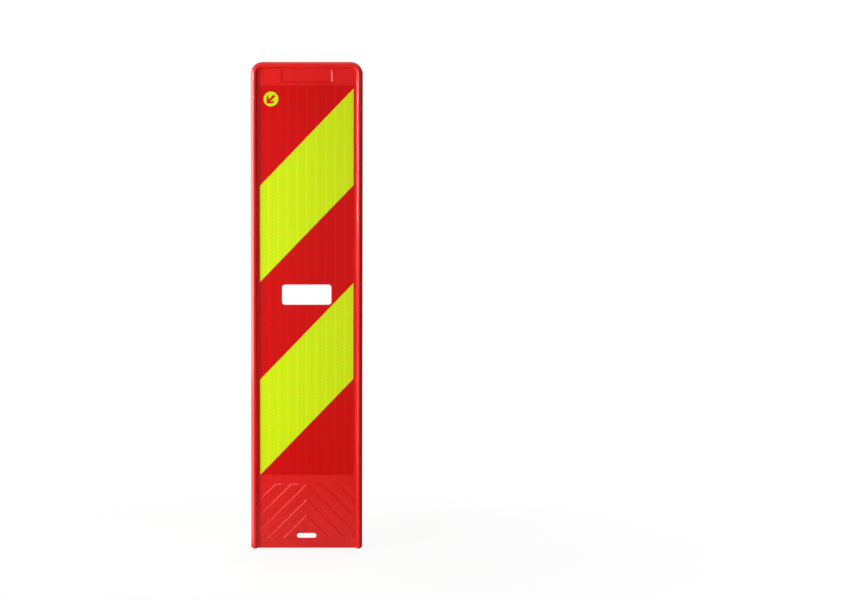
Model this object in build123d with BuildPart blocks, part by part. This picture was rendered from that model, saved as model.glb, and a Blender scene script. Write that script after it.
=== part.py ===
from build123d import *
import os
from math import cos, radians, sin, sqrt, tan

# Traffic delineation panel: a moulded board, flanged round its sides and top, that stands in a road
# foot, with a retroreflective film and red overlays on each face. The front faces -Y, the foot end
# lies on Z = 0 and the origin is at its middle. Sizes are in millimetres, angles in degrees.

# Moulded board
panel_height = 1000.0  # foot end to the top of the rear lip
panel_width = 230.0  # across the rear lips
web_thickness = 4.0
front_recess = 11.0  # front crest down to the web
rear_recess = 11.0  # rear lip down to the web
flange_lean = 14.0  # outer wall, leaning in towards the front
front_draft = 7.0  # inner wall of the front recess
rear_draft = 18.0  # inner wall of the rear recess
crest_thickness = 5.2  # flange wall at its front edge
lip_thickness = 4.0  # flange wall at its rear edge
crest_outer_share = 0.2  # rounding of the crest's outer edge, as a share of its thickness
crest_inner_share = 0.73  # the wide rounding of its inner edge
lip_share = 0.38  # rounding of both lip edges
root_round = 1.0  # inside corner between flange and web
root_flat = 1.0  # flat web that belongs to the flange section
recess_corner = 13.3  # top corners of the front recess, at the crest

# Hand window through the web
window_width = 101.0
window_rise = 41.0
window_lift = 23.5  # middle of the panel up to the middle of the window
window_corner = 6.0
window_round = 1.0  # rounded edges, on both faces

# Slot for the foot's locking pin
slot_length = 40.0
slot_width = 10.0
slot_middle = 25.5  # above the foot end
slot_round = 0.8
slot_land = 3.0  # plain web between the slot and the grip ribs

# Chevron grip ribs where the panel goes into its foot
rib_height = 1.2
rib_draft = 52.0
rib_band = 22.0  # height of one rib along the panel
rib_pitch = 32.2
whole_ribs = 3  # ribs with their apex inside the grip zone
cut_ribs = 3  # ribs above them, cut off by the top of the zone
grip_foot = 20.0  # foot end to the grip zone
grip_gap = 13.3  # grip zone to the lower film

# Label recess above the front film
label_width = 105.5
label_depth = 2.0
label_draft = 55.0
label_corner = 4.5
label_top_gap = 2.6
label_foot_gap = 5.0

# Ejector marks on the rear of the web
foot_mark_radius = 6.0
foot_mark_middle = 9.4  # above the foot end
foot_mark_offsets = (23.0, 43.0, 96.0)  # each side of one on the middle line
top_mark_radius = 2.5
top_mark_drop = 28.0  # below the top of the rear lip
top_mark_offset = 31.0
mark_depth = 0.3

# Films
sheet_thickness = 0.4
overlay_thickness = 0.1
film_side_gap = 3.2  # film edge to the flange's root rounding
film_window_gap = 2.0  # film edge to the hand window
front_film_foot = 151.5  # foot end to the front film
front_film_drop = 48.5  # top of the panel to the front film
rear_film_foot = 146.5
rear_film_drop = 53.5

# Stripes: their heights are measured along the panel
front_stripe = 197.0  # clear stripes
front_window_stripe = 201.0  # red stripe between them, round the window
front_slope = 46.0  # rising to the right, seen from the front
front_window_neck = 2.45  # red film left between the window's lower corner and the stripe below
front_border = 2.0  # red edge that the overlay keeps round its clear stripes
rear_stripe = 179.0  # clear and red ones
rear_slope = 41.6  # falling to the right, seen from the rear
rear_window_neck = 1.35

# Direction roundels, one at a top corner of each film
roundel_radius = 15.0
front_roundel_inset = 24.7  # middle of the roundel to the film's side
front_roundel_drop = 27.7  # and to its top
rear_roundel_inset = 26.3
rear_roundel_drop = 24.9
arrow_tip_gap = 2.1  # arrow tip to the roundel's rim
arrow_tail_gap = 4.9
arrow_barb_gap = 5.9
arrow_shaft = 5.2
arrow_barb = 4.5
front_arrow_turn = 225.0  # down and to the left, seen from the front
rear_arrow_turn = -45.0  # down and to the right, seen from the rear

# Places worked out from the sizes above
panel_depth = front_recess + web_thickness + rear_recess
crest_inset = panel_depth * tan(radians(flange_lean))
crest_inner = crest_inset + crest_thickness
lip_round = lip_share * lip_thickness
lip_spare = lip_round * ((1 + sin(radians(flange_lean))) / cos(radians(flange_lean)) - 1)  # lost to its rounding
front_root = crest_inner + front_recess * tan(radians(front_draft))
rear_root = lip_thickness + rear_recess * tan(radians(rear_draft))
web_edge = max(front_root, rear_root) + root_round
section_edge = web_edge + root_flat
outer_corner = recess_corner + crest_inner
front_web = Plane.front.offset(panel_depth / 2 - front_recess)
rear_web = Plane.back.offset(panel_depth / 2 - rear_recess)

window_middle = panel_height / 2 + window_lift
film_half_width = panel_width / 2 - web_edge - film_side_gap
front_film_top = panel_height - front_film_drop
rear_film_top = panel_height - rear_film_drop
front_overlay_plane = front_web.offset(sheet_thickness)
rear_overlay_plane = rear_web.offset(sheet_thickness)
front_roundel = (front_roundel_inset - film_half_width, front_film_top - front_roundel_drop)
rear_roundel = (film_half_width - rear_roundel_inset, rear_film_top - rear_roundel_drop)
grip_top = min(front_film_foot, rear_film_foot) - grip_gap

os.makedirs("parts", exist_ok=True)


def chevron(apex):
    """Corners of an arrowhead band at 45 degrees, wider than the grip zone."""
    reach = panel_width / 2
    upper = [(-reach, apex - reach), (0, apex), (reach, apex - reach)]
    lower = [(across, up - rib_band) for across, up in reversed(upper)]
    return upper + lower


def window_band_middle(stripe, slope, neck):
    """Height of the red stripe that holds the window, set by the neck of film at the window's lower corner."""
    corner = window_corner + film_window_gap
    across = window_width / 2 - window_corner
    down = window_rise / 2 - window_corner
    lean = radians(slope)
    lower_edge = window_middle - down - across * tan(lean) - (corner + neck) / cos(lean)
    return lower_edge + stripe / 2


def slanted_band(low, high, slope):
    """Corners of a band between two slanted edges, whose heights are those on the middle line."""
    reach = panel_width / 2
    rise = reach * tan(radians(slope))
    return [(-reach, low - rise), (reach, low + rise), (reach, high + rise), (-reach, high - rise)]


def arrow():
    """Corners of a barbed arrow that points along +X from the roundel's middle."""
    tip = roundel_radius - arrow_tip_gap
    tail = arrow_tail_gap - roundel_radius
    span = roundel_radius - arrow_barb_gap
    half_shaft = arrow_shaft / 2
    barb = arrow_barb * sqrt(2)
    upper = [
        (tip - span, span),
        (tip - span - barb, span),
        (tip - half_shaft - barb, half_shaft),
        (tail, half_shaft),
    ]
    lower = [(along, -across) for along, across in reversed(upper)]
    return [(tip, 0)] + upper + lower


def film_blank(foot, top):
    """Draws a film with its cut-out for the hand window."""
    with Locations((0, foot)):
        Rectangle(2 * film_half_width, top - foot, align=(Align.CENTER, Align.MIN))
    with Locations((0, window_middle)):
        RectangleRounded(
            window_width + 2 * film_window_gap,
            window_rise + 2 * film_window_gap,
            window_corner + film_window_gap,
            mode=Mode.SUBTRACT,
        )


# Board: one flange section carried up the left side, across the top and down the right, round a web
with BuildPart() as panel_body:
    with BuildLine(Plane.front):
        FilletPolyline(
            (-panel_width / 2, 0),
            (-panel_width / 2, panel_height),
            (panel_width / 2, panel_height),
            (panel_width / 2, 0),
            radius=outer_corner,
        )
    with BuildSketch(Plane((-panel_width / 2, 0, 0))) as flange_section:
        crest_y = -panel_depth / 2
        lip_y = panel_depth / 2
        web_front_y = crest_y + front_recess
        web_rear_y = lip_y - rear_recess
        rounded_corners = {
            (-lip_spare, lip_y): lip_round,
            (crest_inset - lip_spare, crest_y): crest_outer_share * crest_thickness,
            (crest_inner, crest_y): crest_inner_share * crest_thickness,
            (front_root, web_front_y): root_round,
            (rear_root, web_rear_y): root_round,
            (lip_thickness, lip_y): lip_round,
        }
        outline = list(rounded_corners)
        inner_end = [(section_edge, web_front_y), (section_edge, web_rear_y)]
        Polygon(*outline[:4], *inner_end, *outline[4:], align=None)
        for corner, radius in rounded_corners.items():
            fillet(flange_section.vertices().sort_by_distance(corner)[0], radius)
    sweep()
    with BuildSketch(front_web) as web_outline:
        Rectangle(
            panel_width - 2 * web_edge,
            panel_height - web_edge,
            align=(Align.CENTER, Align.MIN),
        )
        fillet(web_outline.vertices().group_by(Axis.Y)[-1], outer_corner - web_edge)
    extrude(amount=-web_thickness)

    # Chevron ribs on both faces, trimmed to the grip zone and clear of the slot
    for face in (front_web, rear_web):
        with BuildSketch(face):
            for step in range(-cut_ribs, whole_ribs):
                Polygon(*chevron(grip_top - step * rib_pitch), align=None)
            with Locations((0, grip_foot)):
                Rectangle(
                    2 * film_half_width,
                    grip_top - grip_foot,
                    align=(Align.CENTER, Align.MIN),
                    mode=Mode.INTERSECT,
                )
        extrude(amount=rib_height, taper=rib_draft)
        with BuildSketch(face):
            with Locations((0, slot_middle)):
                SlotOverall(slot_length + 2 * slot_land, slot_width + 2 * slot_land)
        extrude(amount=rib_height, mode=Mode.SUBTRACT)

    # Hand window and pin slot, with rounded edges
    with BuildSketch(front_web):
        with Locations((0, window_middle)):
            RectangleRounded(window_width, window_rise, window_corner)
    extrude(amount=-web_thickness, mode=Mode.SUBTRACT)
    fillet(panel_body.edges(Select.LAST).filter_by(Axis.Y, reverse=True), window_round)
    with BuildSketch(front_web):
        with Locations((0, slot_middle)):
            SlotOverall(slot_length, slot_width)
    extrude(amount=-web_thickness, mode=Mode.SUBTRACT)
    fillet(panel_body.edges(Select.LAST).filter_by(Axis.Y, reverse=True), slot_round)

    # Label recess, cut inwards from the front of the web
    label_foot = front_film_top + label_foot_gap
    label_top = panel_height - web_edge - label_top_gap
    with BuildSketch(Plane.back.offset(web_front_y)):
        with Locations((0, label_foot)):
            RectangleRounded(
                label_width,
                label_top - label_foot,
                label_corner,
                align=(Align.CENTER, Align.MIN),
            )
    extrude(amount=label_depth, taper=label_draft, mode=Mode.SUBTRACT)

    # Ejector marks on the rear
    with BuildSketch(rear_web):
        foot_marks = [side * offset for offset in foot_mark_offsets for side in (-1, 1)]
        with Locations(*[(across, foot_mark_middle) for across in [0] + foot_marks]):
            Circle(foot_mark_radius)
        with GridLocations(2 * top_mark_offset, 0, 2, 1):
            with Locations((0, panel_height - top_mark_drop)):
                Circle(top_mark_radius)
    extrude(amount=-mark_depth, mode=Mode.SUBTRACT)
panel_body.part.label = "panel_body"
export_step(panel_body.part, "parts/panel_body.step")

# Front film: a clear-striped red overlay on a lime sheet
with BuildPart() as front_sheeting:
    with BuildSketch(front_web):
        film_blank(front_film_foot, front_film_top)
    extrude(amount=sheet_thickness)
front_sheeting.part.label = "front_sheeting"
export_step(front_sheeting.part, "parts/front_sheeting.step")

front_band_middle = window_band_middle(front_window_stripe, front_slope, front_window_neck)
with BuildSketch(front_overlay_plane) as front_clear_areas:
    for side in (-1, 1):
        middle = front_band_middle + side * (front_window_stripe + front_stripe) / 2
        Polygon(
            *slanted_band(middle - front_stripe / 2, middle + front_stripe / 2, front_slope),
            align=None,
        )
    with Locations((0, front_film_foot + front_border)):
        Rectangle(
            2 * (film_half_width - front_border),
            front_film_top - front_film_foot - 2 * front_border,
            align=(Align.CENTER, Align.MIN),
            mode=Mode.INTERSECT,
        )
    with Locations(front_roundel):
        Circle(roundel_radius)

with BuildPart() as front_red_overlay:
    with BuildSketch(front_overlay_plane):
        film_blank(front_film_foot, front_film_top)
        add(front_clear_areas.sketch_local, mode=Mode.SUBTRACT)
    extrude(amount=overlay_thickness)
front_red_overlay.part.label = "front_red_overlay"
export_step(front_red_overlay.part, "parts/front_red_overlay.step")

with BuildPart() as front_arrow:
    with BuildSketch(front_overlay_plane):
        with Locations(front_roundel):
            Polygon(*arrow(), rotation=front_arrow_turn, align=None)
    extrude(amount=overlay_thickness)
front_arrow.part.label = "front_arrow"
export_step(front_arrow.part, "parts/front_arrow.step")

# Rear film: three red fields on a yellow sheet
with BuildPart() as rear_sheeting:
    with BuildSketch(rear_web):
        film_blank(rear_film_foot, rear_film_top)
    extrude(amount=sheet_thickness)
rear_sheeting.part.label = "rear_sheeting"
export_step(rear_sheeting.part, "parts/rear_sheeting.step")

rear_band_middle = window_band_middle(rear_stripe, rear_slope, rear_window_neck)
rear_edges = [rear_band_middle + step * rear_stripe for step in (-1.5, -0.5, 0.5, 1.5)]
rear_fields = {
    "rear_red_lower": (rear_edges[0] - panel_height, rear_edges[0]),
    "rear_red_middle": (rear_edges[1], rear_edges[2]),
    "rear_red_upper": (rear_edges[3], rear_edges[3] + panel_height),
}
for name, (low, high) in rear_fields.items():
    with BuildPart() as rear_field:
        with BuildSketch(rear_overlay_plane):
            film_blank(rear_film_foot, rear_film_top)
            Polygon(*slanted_band(low, high, -rear_slope), align=None, mode=Mode.INTERSECT)
            with Locations(rear_roundel):
                Circle(roundel_radius, mode=Mode.SUBTRACT)
        extrude(amount=overlay_thickness)
    rear_field.part.label = name
    export_step(rear_field.part, f"parts/{name}.step")

with BuildPart() as rear_arrow:
    with BuildSketch(rear_overlay_plane):
        with Locations(rear_roundel):
            Polygon(*arrow(), rotation=rear_arrow_turn, align=None)
    extrude(amount=overlay_thickness)
rear_arrow.part.label = "rear_arrow"
export_step(rear_arrow.part, "parts/rear_arrow.step")
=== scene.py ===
"""Looks of a traffic delineation panel: a moulded red board that carries reflective film on both faces."""

import logging
from abc import ABC, abstractmethod
from dataclasses import dataclass
from enum import Enum
from math import radians

import bmesh
import bpy
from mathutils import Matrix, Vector

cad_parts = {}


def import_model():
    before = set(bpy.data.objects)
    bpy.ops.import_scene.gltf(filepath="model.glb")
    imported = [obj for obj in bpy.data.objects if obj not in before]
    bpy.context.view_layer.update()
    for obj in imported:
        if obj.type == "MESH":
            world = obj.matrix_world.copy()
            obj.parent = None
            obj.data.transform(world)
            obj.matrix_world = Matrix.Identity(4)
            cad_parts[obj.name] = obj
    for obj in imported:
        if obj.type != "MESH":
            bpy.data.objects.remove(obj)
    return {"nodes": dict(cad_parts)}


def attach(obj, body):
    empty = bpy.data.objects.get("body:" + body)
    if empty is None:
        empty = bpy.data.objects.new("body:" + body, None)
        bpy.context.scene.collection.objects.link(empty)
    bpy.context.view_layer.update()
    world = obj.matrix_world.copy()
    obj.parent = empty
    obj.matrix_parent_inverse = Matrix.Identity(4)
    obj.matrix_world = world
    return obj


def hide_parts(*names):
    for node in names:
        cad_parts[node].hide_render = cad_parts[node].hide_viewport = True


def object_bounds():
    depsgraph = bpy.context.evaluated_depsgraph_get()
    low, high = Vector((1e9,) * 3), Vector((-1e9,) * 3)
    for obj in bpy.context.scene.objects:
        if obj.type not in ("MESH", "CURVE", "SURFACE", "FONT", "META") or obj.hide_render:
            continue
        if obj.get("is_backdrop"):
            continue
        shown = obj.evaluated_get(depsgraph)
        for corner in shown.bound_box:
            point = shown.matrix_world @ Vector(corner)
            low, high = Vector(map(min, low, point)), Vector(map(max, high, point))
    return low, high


LOG = logging.getLogger("delineation_panel")
MM = 0.001

# A Mix node repeats its socket names for each kind of data, so its sockets are taken by number.
MIX_VALUE_A, MIX_VALUE_B = 2, 3
MIX_COLOUR_A, MIX_COLOUR_B, MIX_COLOUR_OUT = 6, 7, 2


class LampUse(Enum):
    """What a lamp does for the panel."""

    SHADE = "only lights matt colour"
    SHINE = "only shows as a highlight"


def linear(hex_colour: str) -> tuple[float, float, float, float]:
    """Turns an sRGB hex colour into linear light.

    Args:
        hex_colour: Colour written as "#RRGGBB".

    Returns:
        Linear red, green and blue, and an alpha of 1.
    """
    encoded = [int(hex_colour[start : start + 2], 16) / 255 for start in (1, 3, 5)]
    red, green, blue = [c / 12.92 if c <= 0.04045 else ((c + 0.055) / 1.055) ** 2.4 for c in encoded]
    return red, green, blue, 1.0


def add_node(
    tree: bpy.types.NodeTree, kind: str, inputs: dict | None = None, **settings: object
) -> bpy.types.Node:
    """Adds one node to a tree, with its settings, values and links.

    Args:
        tree: Node tree of a material or world.
        kind: Blender's name for the node's class.
        inputs: Socket name or number to a value, or to the output socket that is linked there.
        settings: The node's own properties.

    Returns:
        The new node.
    """
    node = tree.nodes.new(kind)
    for name, value in settings.items():
        setattr(node, name, value)
    for key, value in (inputs or {}).items():
        if isinstance(value, bpy.types.NodeSocket):
            tree.links.new(value, node.inputs[key])
        else:
            node.inputs[key].default_value = value
    return node


def new_material(name: str) -> bpy.types.Material:
    """Makes an empty node material of that name."""
    material = bpy.data.materials.new(name)
    material.use_nodes = True
    material.node_tree.nodes.clear()
    return material


@dataclass(frozen=True)
class MouldedPolypropylene:
    """Red polypropylene, injection moulded against a lightly grained steel mould.

    It gives an even strong red, a soft highlight along each rounded edge, and a faint cloudiness where the
    melt flowed.
    """

    name: str = "moulded_polypropylene"
    pigment: str = "#CE1210"
    pale_flow: str = "#D81714"
    ior: float = 1.49
    roughness: float = 0.20
    roughness_spread: float = 0.03
    flow_size: float = 60 * MM
    flow_detail: float = 3.0
    grain_size: float = 0.9 * MM  # the mould's grain is finer, drawn this coarse so that it shows
    grain_detail: float = 2.0
    grain_depth: float = 0.0025 * MM

    def material(self) -> bpy.types.Material:
        """Builds the board's material.

        Returns:
            The new material.
        """
        material = new_material(self.name)
        tree = material.node_tree
        place = add_node(tree, "ShaderNodeTexCoord").outputs["Object"]
        flow = add_node(
            tree,
            "ShaderNodeTexNoise",
            {"Vector": place, "Scale": 1 / self.flow_size, "Detail": self.flow_detail},
        ).outputs[0]
        colour = add_node(
            tree,
            "ShaderNodeMix",
            {0: flow, MIX_COLOUR_A: linear(self.pigment), MIX_COLOUR_B: linear(self.pale_flow)},
            data_type="RGBA",
        )
        roughness = add_node(
            tree,
            "ShaderNodeMapRange",
            {
                "Value": flow,
                "To Min": self.roughness - self.roughness_spread,
                "To Max": self.roughness + self.roughness_spread,
            },
        )
        grain = add_node(
            tree,
            "ShaderNodeTexNoise",
            {"Vector": place, "Scale": 1 / self.grain_size, "Detail": self.grain_detail},
        )
        bump = add_node(tree, "ShaderNodeBump", {"Height": grain.outputs[0], "Distance": self.grain_depth})
        shader = add_node(
            tree,
            "ShaderNodeBsdfPrincipled",
            {
                "Base Color": colour.outputs[MIX_COLOUR_OUT],
                "Roughness": roughness.outputs[0],
                "IOR": self.ior,
                "Normal": bump.outputs[0],
            },
        )
        add_node(tree, "ShaderNodeOutputMaterial", {"Surface": shader.outputs[0]})
        return material


@dataclass(frozen=True, kw_only=True)
class ReflectiveFilm(ABC):
    """What both kinds of reflective film share: a smooth clear face that doesn't lie quite flat."""

    name: str
    ior: float = 1.49
    roughness: float = 0.15
    wave_size: float = 45 * MM
    wave_detail: float = 1.0
    wave_depth: float = 0.02 * MM

    @abstractmethod
    def pattern(self, tree: bpy.types.NodeTree, place: bpy.types.NodeSocket) -> bpy.types.NodeSocket:
        """Adds the colour pattern under the clear face.

        Args:
            tree: The material's node tree.
            place: Place on the film.

        Returns:
            The colour's socket.
        """

    def material(self) -> bpy.types.Material:
        """Builds the film's material.

        Returns:
            The new material.
        """
        material = new_material(self.name)
        tree = material.node_tree
        place = add_node(tree, "ShaderNodeTexCoord").outputs["Object"]
        wave = add_node(
            tree,
            "ShaderNodeTexNoise",
            {"Vector": place, "Scale": 1 / self.wave_size, "Detail": self.wave_detail},
        )
        bump = add_node(tree, "ShaderNodeBump", {"Height": wave.outputs[0], "Distance": self.wave_depth})
        shader = add_node(
            tree,
            "ShaderNodeBsdfPrincipled",
            {
                "Base Color": self.pattern(tree, place),
                "Roughness": self.roughness,
                "IOR": self.ior,
                "Normal": bump.outputs[0],
            },
        )
        add_node(tree, "ShaderNodeOutputMaterial", {"Surface": shader.outputs[0]})
        return material


@dataclass(frozen=True, kw_only=True)
class PrismaticFilm(ReflectiveFilm):
    """Prismatic retroreflective film: tiny prisms sealed into diamond cells under a smooth acrylic face.

    It gives a clear bright colour, a fine diamond lattice of darker seals, and pale upright lines where the
    prism tool was stepped across the film.
    """

    cell: str
    seal: str
    cell_width: float = 5.4 * MM  # real cells are about 4 mm across, drawn a little coarser to show
    cell_height: float = 7.4 * MM
    half_cell: float = 0.5  # in cells, from one seal to the middle between two
    seal_share: float = 0.36  # half the seal's width, as a share of the cell
    step_pitch: float = 19.5 * MM  # from one edge of the prism tool to the next
    step_width: float = 4.0 * MM  # half the width over which the seals fade at such an edge
    step_seal: float = 0.5  # how strong the seals stay there

    def pattern(self, tree: bpy.types.NodeTree, place: bpy.types.NodeSocket) -> bpy.types.NodeSocket:
        """Adds the diamond cells, their seals and the tool's upright lines.

        Args:
            tree: The material's node tree.
            place: Place on the film.

        Returns:
            The colour's socket.
        """
        axes = add_node(tree, "ShaderNodeSeparateXYZ", {"Vector": place})
        across = add_node(
            tree, "ShaderNodeMath", {0: axes.outputs["X"], 1: self.cell_width}, operation="DIVIDE"
        ).outputs[0]
        along = add_node(
            tree, "ShaderNodeMath", {0: axes.outputs["Z"], 1: self.cell_height}, operation="DIVIDE"
        ).outputs[0]
        seal_distances = []
        for slant in ("ADD", "SUBTRACT"):
            diagonal = add_node(tree, "ShaderNodeMath", {0: across, 1: along}, operation=slant)
            from_line = add_node(
                tree, "ShaderNodeMath", {0: diagonal.outputs[0], 1: self.half_cell}, operation="PINGPONG"
            )
            seal_distances.append(from_line.outputs[0])
        nearest = add_node(
            tree, "ShaderNodeMath", {0: seal_distances[0], 1: seal_distances[1]}, operation="MINIMUM"
        )
        seal = add_node(
            tree,
            "ShaderNodeMapRange",
            {"Value": nearest.outputs[0], "From Max": self.seal_share, "To Min": 1.0, "To Max": 0.0},
            interpolation_type="SMOOTHSTEP",
        )
        from_step = add_node(
            tree, "ShaderNodeMath", {0: axes.outputs["X"], 1: self.step_pitch / 2}, operation="PINGPONG"
        )
        banding = add_node(
            tree,
            "ShaderNodeMapRange",
            {"Value": from_step.outputs[0], "From Max": self.step_width, "To Min": self.step_seal},
            interpolation_type="SMOOTHSTEP",
        )
        shade = add_node(
            tree, "ShaderNodeMath", {0: seal.outputs[0], 1: banding.outputs[0]}, operation="MULTIPLY"
        )
        return add_node(
            tree,
            "ShaderNodeMix",
            {0: shade.outputs[0], MIX_COLOUR_A: linear(self.cell), MIX_COLOUR_B: linear(self.seal)},
            data_type="RGBA",
        ).outputs[MIX_COLOUR_OUT]


@dataclass(frozen=True, kw_only=True)
class BeadedFilm(ReflectiveFilm):
    """Glass-bead retroreflective film: a close layer of beads under a smooth clear face.

    It gives a deep even colour with a fine powdery speckle, and a smooth soft gloss.
    """

    colour: str
    speckle: str
    bead_size: float = 0.8 * MM  # real beads are under 0.1 mm, drawn this coarse so that they show
    bead_detail: float = 1.0

    def pattern(self, tree: bpy.types.NodeTree, place: bpy.types.NodeSocket) -> bpy.types.NodeSocket:
        """Adds the speckle of the beads.

        Args:
            tree: The material's node tree.
            place: Place on the film.

        Returns:
            The colour's socket.
        """
        beads = add_node(
            tree,
            "ShaderNodeTexNoise",
            {"Vector": place, "Scale": 1 / self.bead_size, "Detail": self.bead_detail},
        )
        return add_node(
            tree,
            "ShaderNodeMix",
            {0: beads.outputs[0], MIX_COLOUR_A: linear(self.colour), MIX_COLOUR_B: linear(self.speckle)},
            data_type="RGBA",
        ).outputs[MIX_COLOUR_OUT]


@dataclass
class MouldedBoard:
    """The moulded board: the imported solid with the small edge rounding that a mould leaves."""

    node: bpy.types.Object
    finish: MouldedPolypropylene
    slot: str = "board"
    same_point: float = 0.001 * MM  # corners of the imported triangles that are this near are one
    flat: float = radians(0.2)  # triangles that turn less than this are one face
    fold: float = radians(32)  # edges that turn further than this are mould edges
    edge_round: float = 0.35 * MM
    round_segments: int = 2
    mark_reach: float = 18 * MM  # the lower ejector marks lie below this height
    mark_height: float = 960 * MM  # and the upper ones above this height
    piece: bpy.types.Object | None = None

    def is_mark(self, edge: bmesh.types.BMEdge) -> bool:
        """Tells whether an edge lies among the ejector marks, which are too shallow to round."""
        middle = (edge.verts[0].co + edge.verts[1].co) / 2
        near_end = self.edge_round < middle.z < self.mark_reach or middle.z > self.mark_height
        return middle.y > 0 and near_end

    def build(self) -> bpy.types.Object:
        """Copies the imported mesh, merges it and rounds its mould edges.

        Returns:
            The board's object.
        """
        shape = bmesh.new()
        shape.from_mesh(self.node.data)
        bmesh.ops.remove_doubles(shape, verts=shape.verts, dist=self.same_point)
        bmesh.ops.dissolve_limit(
            shape,
            angle_limit=self.flat,
            use_dissolve_boundaries=False,
            verts=shape.verts,
            edges=shape.edges,
        )
        folded = [
            edge for edge in shape.edges if edge.calc_face_angle(0.0) > self.fold and not self.is_mark(edge)
        ]
        bmesh.ops.bevel(
            shape,
            geom=folded,
            offset=self.edge_round,
            offset_type="OFFSET",
            affect="EDGES",
            segments=self.round_segments,
            profile=0.5,
            material=-1,
            clamp_overlap=True,
        )
        mesh = bpy.data.meshes.new("moulded_board")
        shape.to_mesh(mesh)
        shape.free()
        mesh.shade_smooth()
        self.piece = bpy.data.objects.new("moulded_board", mesh)
        bpy.context.scene.collection.objects.link(self.piece)
        weighted = self.piece.modifiers.new("face_weighted_normals", "WEIGHTED_NORMAL")
        weighted.keep_sharp = True
        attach(self.piece, "root")
        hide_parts(self.node.name)
        return self.piece

    def dress(self) -> None:
        """Gives the board its moulded finish."""
        self.piece.data.materials.append(self.finish.material())


@dataclass
class FilmFace:
    """The film on one face: a reflective sheet, and the red film on it."""

    sheet: bpy.types.Object
    red_pieces: list[bpy.types.Object]
    sheet_finish: ReflectiveFilm
    red_finish: ReflectiveFilm

    def dress(self) -> None:
        """Gives the sheet and its red film their finishes."""
        self.sheet.material_slots[0].material = self.sheet_finish.material()
        red = self.red_finish.material()
        for piece in self.red_pieces:
            piece.material_slots[0].material = red


@dataclass
class Softbox:
    """A rectangular lamp with a soft light, aimed at a point on the panel."""

    name: str
    place: tuple[float, float, float]  # in metres, as are the aim and the sizes
    aim: Vector
    width: float
    height: float
    power: float  # in watts
    use: LampUse
    spread: float = radians(180)  # narrower where a grid sits on the lamp
    receivers: bpy.types.Collection | None = None  # the only pieces it lights, where a flag shades the rest

    def build(self) -> bpy.types.Object:
        """Makes the lamp and aims it.

        Returns:
            The lamp's object.
        """
        light = bpy.data.lights.new(self.name, "AREA")
        light.shape = "RECTANGLE"
        light.size = self.width
        light.size_y = self.height
        light.energy = self.power
        light.spread = self.spread
        lamp = bpy.data.objects.new(self.name, light)
        lamp.location = self.place
        lamp.rotation_euler = (self.aim - Vector(self.place)).to_track_quat("-Z", "Y").to_euler()
        lamp.visible_glossy = self.use is LampUse.SHINE
        lamp.visible_diffuse = self.use is LampUse.SHADE
        lamp.visible_camera = False
        lamp.light_linking.receiver_collection = self.receivers
        bpy.context.scene.collection.objects.link(lamp)
        return lamp


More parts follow.
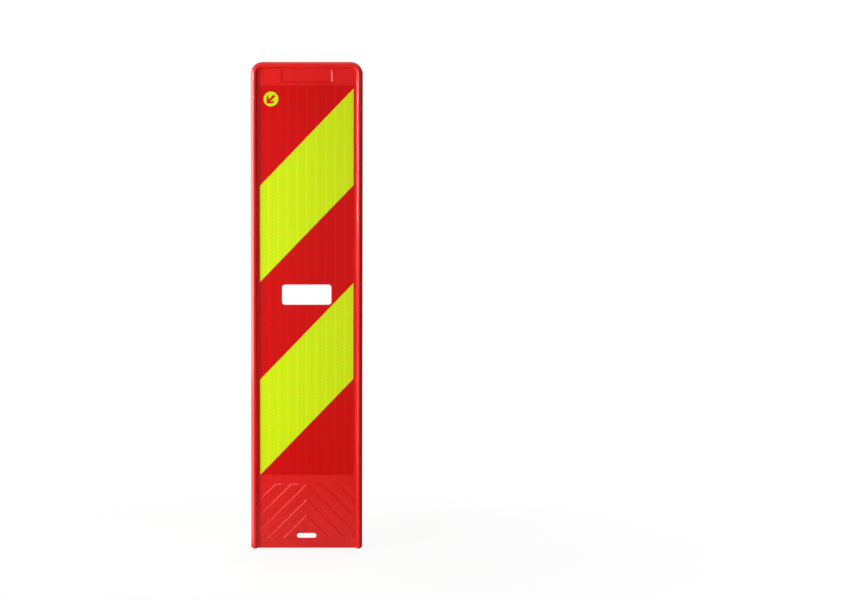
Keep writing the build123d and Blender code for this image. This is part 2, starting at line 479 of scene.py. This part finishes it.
@dataclass
class Studio:
    """A pale floor that runs out into a white surround, with softboxes round the panel.

    A ramp holds two values along one axis, of a direction or of a place on the floor: where a brightness
    starts, and where it is full.
    """

    floor_radius: float = 4.0
    floor_sides: int = 96
    floor_colour: str = "#ECECEA"
    floor_drop: float = 0.2 * MM  # keeps the floor just clear of the foot end
    shadow_reach: float = 0.25  # within this distance the floor shows its own shade
    white_reach: float = 0.95  # beyond this distance it is as white as the surround
    near_white: float = 0.84  # share of the surround's white in the floor near the panel
    left_edge: float = 118 * MM  # gloss sees the floor bright only left of the panel
    surround_colour: str = "#FFFFFF"
    fill: float = 0.24  # light that the surround sends to matt surfaces
    dim: float = 0.02  # how bright gloss sees the surround and the floor elsewhere
    wall_shine: float = 1.7  # how bright gloss sees the surround behind the panel on the left
    sky_shine: float = 0.17  # and high up behind it
    floor_shine: float = 0.8  # how bright gloss sees the floor behind the panel on the left
    front_shine: float = 0.42  # and close in front of it
    front_near: float = 0.05  # within this distance the front floor is that bright
    front_far: float = 0.90  # beyond this distance it is dim
    left_ramp: tuple[float, float] = (-0.3, -0.46)  # along X, out to the left
    behind_ramp: tuple[float, float] = (0.6, 0.8)  # along Y, away behind the panel
    low_ramp: tuple[float, float] = (0.35, 0.15)  # along Z, down from overhead
    high_ramp: tuple[float, float] = (0.2, 0.4)  # along Z, up overhead
    front_ramp: tuple[float, float] = (0.0, -10 * MM)  # along Y, on the floor in front of the panel
    crest_inset: float = 8 * MM  # from the panel's right side to the crest of its rim
    crest_drop: float = 1 * MM  # from the panel's front back to that crest's left flank
    upper_crest: float = 820 * MM  # height on that crest at which the edge strip is aimed
    lower_crest: float = 400 * MM  # and the crest strip
    label_wall: tuple[float, float, float] = (52 * MM, -1 * MM, 970 * MM)  # right wall of the label recess
    strip_grid: float = radians(40)  # angle that the grid on the edge strip lets through

    def surround_strength(
        self,
        tree: bpy.types.NodeTree,
        path: bpy.types.Node,
        seen: bpy.types.NodeSocket,
        outward: bpy.types.NodeSocket,
        shine: float,
        rest: bpy.types.NodeSocket,
    ) -> bpy.types.NodeSocket:
        """Adds how bright the surround is on the ray at hand.

        The camera sees it white, and so does anything through glass. Gloss sees it bright low down behind the
        panel on the left. Matt surfaces take an even fill from it.

        Args:
            tree: Node tree of the floor or the world.
            path: The tree's Light Path node.
            seen: 1 on rays that see the surround white.
            outward: Direction from the panel.
            shine: How bright gloss sees the bright part.
            rest: How bright gloss sees it elsewhere.

        Returns:
            The strength's socket.
        """
        sides = add_node(tree, "ShaderNodeSeparateXYZ", {"Vector": outward})
        left = add_node(
            tree,
            "ShaderNodeMapRange",
            {"Value": sides.outputs["X"], "From Min": self.left_ramp[0], "From Max": self.left_ramp[1]},
            interpolation_type="SMOOTHSTEP",
        )
        behind = self.behind_panel(tree, sides.outputs["Y"])
        low = add_node(
            tree,
            "ShaderNodeMapRange",
            {"Value": sides.outputs["Z"], "From Min": self.low_ramp[0], "From Max": self.low_ramp[1]},
            interpolation_type="SMOOTHSTEP",
        )
        corner = add_node(tree, "ShaderNodeMath", {0: left.outputs[0], 1: behind}, operation="MULTIPLY")
        lit = add_node(
            tree, "ShaderNodeMath", {0: corner.outputs[0], 1: low.outputs[0]}, operation="MULTIPLY"
        )
        gloss = add_node(
            tree, "ShaderNodeMapRange", {"Value": lit.outputs[0], "To Min": rest, "To Max": shine}
        )
        unseen = add_node(
            tree,
            "ShaderNodeMix",
            {0: path.outputs["Is Glossy Ray"], MIX_VALUE_A: self.fill, MIX_VALUE_B: gloss.outputs[0]},
        )
        return add_node(
            tree, "ShaderNodeMix", {0: seen, MIX_VALUE_A: unseen.outputs[0], MIX_VALUE_B: 1.0}
        ).outputs[0]

    def behind_panel(self, tree: bpy.types.NodeTree, depth: bpy.types.NodeSocket) -> bpy.types.NodeSocket:
        """Adds the test for directions that lead away behind the panel.

        Args:
            tree: Node tree of the floor or the world.
            depth: The direction's part along the panel's depth.

        Returns:
            A socket that is 1 on those directions.
        """
        return add_node(
            tree,
            "ShaderNodeMapRange",
            {"Value": depth, "From Min": self.behind_ramp[0], "From Max": self.behind_ramp[1]},
            interpolation_type="SMOOTHSTEP",
        ).outputs[0]

    def overhead_strength(
        self, tree: bpy.types.NodeTree, outward: bpy.types.NodeSocket
    ) -> bpy.types.NodeSocket:
        """Adds how bright gloss sees the surround away from its bright part: softly lit high up behind.

        Args:
            tree: Node tree of the world.
            outward: Direction from the panel.

        Returns:
            The strength's socket.
        """
        sides = add_node(tree, "ShaderNodeSeparateXYZ", {"Vector": outward})
        high = add_node(
            tree,
            "ShaderNodeMapRange",
            {"Value": sides.outputs["Z"], "From Min": self.high_ramp[0], "From Max": self.high_ramp[1]},
            interpolation_type="SMOOTHSTEP",
        )
        behind = self.behind_panel(tree, sides.outputs["Y"])
        lit = add_node(tree, "ShaderNodeMath", {0: high.outputs[0], 1: behind}, operation="MULTIPLY")
        return add_node(
            tree,
            "ShaderNodeMapRange",
            {"Value": lit.outputs[0], "To Min": self.dim, "To Max": self.sky_shine},
        ).outputs[0]

    def front_floor_strength(
        self, tree: bpy.types.NodeTree, place: bpy.types.NodeSocket, reach: bpy.types.NodeSocket
    ) -> bpy.types.NodeSocket:
        """Adds how bright gloss sees the floor away from its bright part: lit close in front of the panel.

        Args:
            tree: Node tree of the floor.
            place: Place on the floor.
            reach: Distance of that place from the panel.

        Returns:
            The strength's socket.
        """
        sides = add_node(tree, "ShaderNodeSeparateXYZ", {"Vector": place})
        front = add_node(
            tree,
            "ShaderNodeMapRange",
            {"Value": sides.outputs["Y"], "From Min": self.front_ramp[0], "From Max": self.front_ramp[1]},
        )
        near = add_node(
            tree,
            "ShaderNodeMapRange",
            {"Value": reach, "From Min": self.front_far, "From Max": self.front_near},
            interpolation_type="SMOOTHSTEP",
        )
        lit = add_node(
            tree, "ShaderNodeMath", {0: front.outputs[0], 1: near.outputs[0]}, operation="MULTIPLY"
        )
        return add_node(
            tree,
            "ShaderNodeMapRange",
            {"Value": lit.outputs[0], "To Min": self.dim, "To Max": self.front_shine},
        ).outputs[0]

    def seen_rays(self, tree: bpy.types.NodeTree, path: bpy.types.Node) -> bpy.types.NodeSocket:
        """Adds the test for rays that see the surround white: the camera's, and those through glass.

        Args:
            tree: Node tree of the floor or the world.
            path: The tree's Light Path node.

        Returns:
            A socket that is 1 on those rays.
        """
        return add_node(
            tree,
            "ShaderNodeMath",
            {0: path.outputs["Is Camera Ray"], 1: path.outputs["Is Transmission Ray"]},
            operation="MAXIMUM",
        ).outputs[0]

    def build_floor(self) -> bpy.types.Object:
        """Makes the floor disc.

        Returns:
            The floor's object.
        """
        shape = bmesh.new()
        bmesh.ops.create_circle(shape, cap_ends=True, segments=self.floor_sides, radius=self.floor_radius)
        bmesh.ops.translate(shape, verts=shape.verts, vec=(0, 0, -self.floor_drop))
        mesh = bpy.data.meshes.new("studio_floor")
        shape.to_mesh(mesh)
        shape.free()
        floor = bpy.data.objects.new("studio_floor", mesh)
        bpy.context.scene.collection.objects.link(floor)
        mesh.materials.append(self.floor_material())
        floor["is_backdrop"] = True
        return floor

    def floor_material(self) -> bpy.types.Material:
        """Builds the painted floor: matt, near white, and fading into the surround away from the panel.

        Returns:
            The new material.
        """
        material = new_material("matt_white_floor_paint")
        tree = material.node_tree
        path = add_node(tree, "ShaderNodeLightPath")
        seen = self.seen_rays(tree, path)
        place = add_node(tree, "ShaderNodeTexCoord").outputs["Object"]
        from_corner = add_node(
            tree, "ShaderNodeVectorMath", {0: place, 1: (self.left_edge, 0, 0)}, operation="ADD"
        )
        outward = add_node(
            tree, "ShaderNodeVectorMath", {0: from_corner.outputs[0]}, operation="NORMALIZE"
        ).outputs[0]
        reach = add_node(tree, "ShaderNodeVectorMath", {0: place}, operation="LENGTH").outputs["Value"]
        fade = add_node(
            tree,
            "ShaderNodeMapRange",
            {
                "Value": reach,
                "From Min": self.shadow_reach,
                "From Max": self.white_reach,
                "To Min": self.near_white,
            },
            interpolation_type="SMOOTHSTEP",
        )
        seen_share = add_node(tree, "ShaderNodeMath", {0: fade.outputs[0], 1: seen}, operation="MULTIPLY")
        share = add_node(
            tree,
            "ShaderNodeMath",
            {0: seen_share.outputs[0], 1: path.outputs["Is Glossy Ray"]},
            operation="MAXIMUM",
        )
        paint = add_node(tree, "ShaderNodeBsdfDiffuse", {"Color": linear(self.floor_colour)})
        rest = self.front_floor_strength(tree, place, reach)
        strength = self.surround_strength(tree, path, seen, outward, self.floor_shine, rest)
        glow = add_node(tree, "ShaderNodeEmission", {"Strength": strength})
        mixed = add_node(
            tree, "ShaderNodeMixShader", {0: share.outputs[0], 1: paint.outputs[0], 2: glow.outputs[0]}
        )
        add_node(tree, "ShaderNodeOutputMaterial", {"Surface": mixed.outputs[0]})
        return material

    def build_surround(self) -> None:
        """Makes the world that closes the studio."""
        world = bpy.data.worlds.new("studio_surround")
        bpy.context.scene.world = world
        world.use_nodes = True
        world.cycles.sampling_method = "NONE"
        tree = world.node_tree
        tree.nodes.clear()
        path = add_node(tree, "ShaderNodeLightPath")
        outward = add_node(tree, "ShaderNodeTexCoord").outputs["Generated"]
        seen = self.seen_rays(tree, path)
        rest = self.overhead_strength(tree, outward)
        strength = self.surround_strength(tree, path, seen, outward, self.wall_shine, rest)
        surround = add_node(
            tree, "ShaderNodeBackground", {"Color": linear(self.surround_colour), "Strength": strength}
        )
        add_node(tree, "ShaderNodeOutputWorld", {"Surface": surround.outputs[0]})

    def front_lamps(self, target: Vector) -> list[Softbox]:
        """Lists the lamps for the front: two keys on the left, two fills and a light from above.

        Each key is a narrow lamp that lights the matt colour, so that the left rim throws a clear shadow, and
        a wide one that shows as a soft highlight.

        Args:
            target: The point on the panel that the lamps are aimed at.

        Returns:
            The lamps.
        """
        shade, shine = LampUse.SHADE, LampUse.SHINE
        return [
            Softbox("key", (-0.56, -0.48, 0.90), target, 0.28, 0.95, 5.4, shade),
            Softbox("low_key", (-0.50, -0.42, 0.22), target, 0.22, 0.36, 1.75, shade),
            Softbox("key_shine", (-0.60, -0.65, 0.88), target, 0.68, 1.0, 7.3, shine),
            Softbox("low_key_shine", (-0.62, -0.68, 0.20), target, 0.6, 0.36, 2.7, shine),
            Softbox("left_fill", (-1.10, 0.15, 0.55), target, 0.5, 1.0, 2.5, shade),
            Softbox("front_fill", (0.30, -2.40, 0.62), target, 2.0, 1.1, 11.0, shade),
            Softbox("top_light", (0.10, 0.15, 2.20), target, 0.8, 0.6, 14.0, shade),
        ]

    def edge_lamps(self, target: Vector, low: Vector, high: Vector, board: bpy.types.Object) -> list[Softbox]:
        """Lists the lamps that draw the board's edges and reach no other piece.

        The two strips stand so far round to the left that the left rim hides them from the web, and the crest
        of the right rim catches them.

        Args:
            target: The point on the panel that the top lamp is aimed at.
            low: Lowest corner of the panel's box.
            high: Highest corner of the panel's box.
            board: The moulded board.

        Returns:
            The lamps.
        """
        shade, shine, grid = LampUse.SHADE, LampUse.SHINE, self.strip_grid
        only = bpy.data.collections.new("board_only")
        only.objects.link(board)
        crest_x = high.x - self.crest_inset
        crest_y = low.y + self.crest_drop
        upper = Vector((crest_x, crest_y, self.upper_crest))
        lower = Vector((crest_x, crest_y, self.lower_crest))
        label = Vector(self.label_wall)
        return [
            Softbox("edge_strip", (-1.45, -0.045, 0.93), upper, 0.04, 0.53, 2.2, shine, grid, receivers=only),
            Softbox("crest_strip", (-1.20, -0.05, 0.40), lower, 0.04, 0.7, 11.0, shade, receivers=only),
            Softbox("label_glint", (-1.35, -0.50, 1.06), label, 0.1, 0.2, 0.8, shine, receivers=only),
            Softbox("top_shine", (0.10, 0.15, 2.20), target, 0.8, 0.6, 4.5, shine, receivers=only),
        ]

    def rear_lamps(self, target: Vector) -> list[Softbox]:
        """Lists the lamps for the rear: a key, a fill, and a highlight on each side.

        Args:
            target: The point on the panel that the lamps are aimed at.

        Returns:
            The lamps.
        """
        shade, shine = LampUse.SHADE, LampUse.SHINE
        return [
            Softbox("rear_key", (0.90, 2.20, 1.70), target, 1.0, 1.0, 29.0, shade),
            Softbox("rear_fill", (-1.30, 2.00, 0.36), target, 0.8, 0.56, 14.0, shade),
            Softbox("rear_left_shine", (1.15, 0.50, 1.10), target, 0.4, 0.4, 2.0, shine),
            Softbox("rear_right_shine", (-1.15, 0.50, 1.10), target, 0.4, 0.4, 2.6, shine),
        ]

    def build(self, low: Vector, high: Vector, board: bpy.types.Object) -> None:
        """Builds the whole studio round the panel.

        Args:
            low: Lowest corner of the panel's box.
            high: Highest corner of the panel's box.
            board: The moulded board.
        """
        self.build_floor()
        self.build_surround()
        middle = (low + high) / 2
        lamps = self.front_lamps(middle) + self.edge_lamps(middle, low, high, board) + self.rear_lamps(middle)
        for lamp in lamps:
            lamp.build()


@dataclass
class Viewpoint:
    """The camera: square to the front, at about chest height.

    Its lens is shifted, which leaves the panel left of the picture's middle.
    """

    distance: float = 4.1
    eye_height: float = 0.72
    aim_height: float = 0.5125
    lens_mm: float = 84.64
    sensor_mm: float = 36.0
    frame_width: float = 850.0  # of the picture, in pixels
    panel_column: float = 306.7  # pixel column of the panel's middle

    def build(self) -> bpy.types.Object:
        """Makes the camera and makes it the scene's own.

        Returns:
            The camera's object.
        """
        data = bpy.data.cameras.new("photo_camera")
        data.lens = self.lens_mm
        data.sensor_width = self.sensor_mm
        data.shift_x = 0.5 - self.panel_column / self.frame_width
        camera = bpy.data.objects.new("photo_camera", data)
        camera.location = (0.0, -self.distance, self.eye_height)
        gaze = Vector((0.0, self.distance, self.aim_height - self.eye_height))
        camera.rotation_euler = gaze.to_track_quat("-Z", "Y").to_euler()
        bpy.context.scene.collection.objects.link(camera)
        bpy.context.scene.camera = camera
        return camera


def main() -> None:
    """Builds the panel, dresses it, and sets up the studio and the camera."""
    logging.basicConfig(level=logging.INFO, format="%(name)s: %(message)s")
    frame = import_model()
    cad_low, cad_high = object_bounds()
    nodes = frame["nodes"]

    board = MouldedBoard(nodes["panel_body"], MouldedPolypropylene())
    board.build()
    board.dress()

    front = FilmFace(
        nodes["front_sheeting"],
        [nodes["front_red_overlay"], nodes["front_arrow"]],
        PrismaticFilm(name="lime_prismatic_film", cell="#DCE10C", seal="#A4D706"),
        PrismaticFilm(name="red_prismatic_film", cell="#D40A09", seal="#B10605"),
    )
    rear = FilmFace(
        nodes["rear_sheeting"],
        [nodes[name] for name in ("rear_red_upper", "rear_red_middle", "rear_red_lower", "rear_arrow")],
        BeadedFilm(name="yellow_beaded_film", colour="#F6B800", speckle="#F2B000"),
        BeadedFilm(name="red_beaded_film", colour="#BA0602", speckle="#B20301"),
    )
    for face in (front, rear):
        face.dress()
    for piece in (board.piece, front.sheet, *front.red_pieces, rear.sheet, *rear.red_pieces):
        LOG.info("%s: %d faces", piece.name, len(piece.data.polygons))

    Studio().build(cad_low, cad_high, board.piece)
    Viewpoint().build()
    bpy.context.scene.view_settings.view_transform = "Standard"


if __name__ == "__main__":
    main()
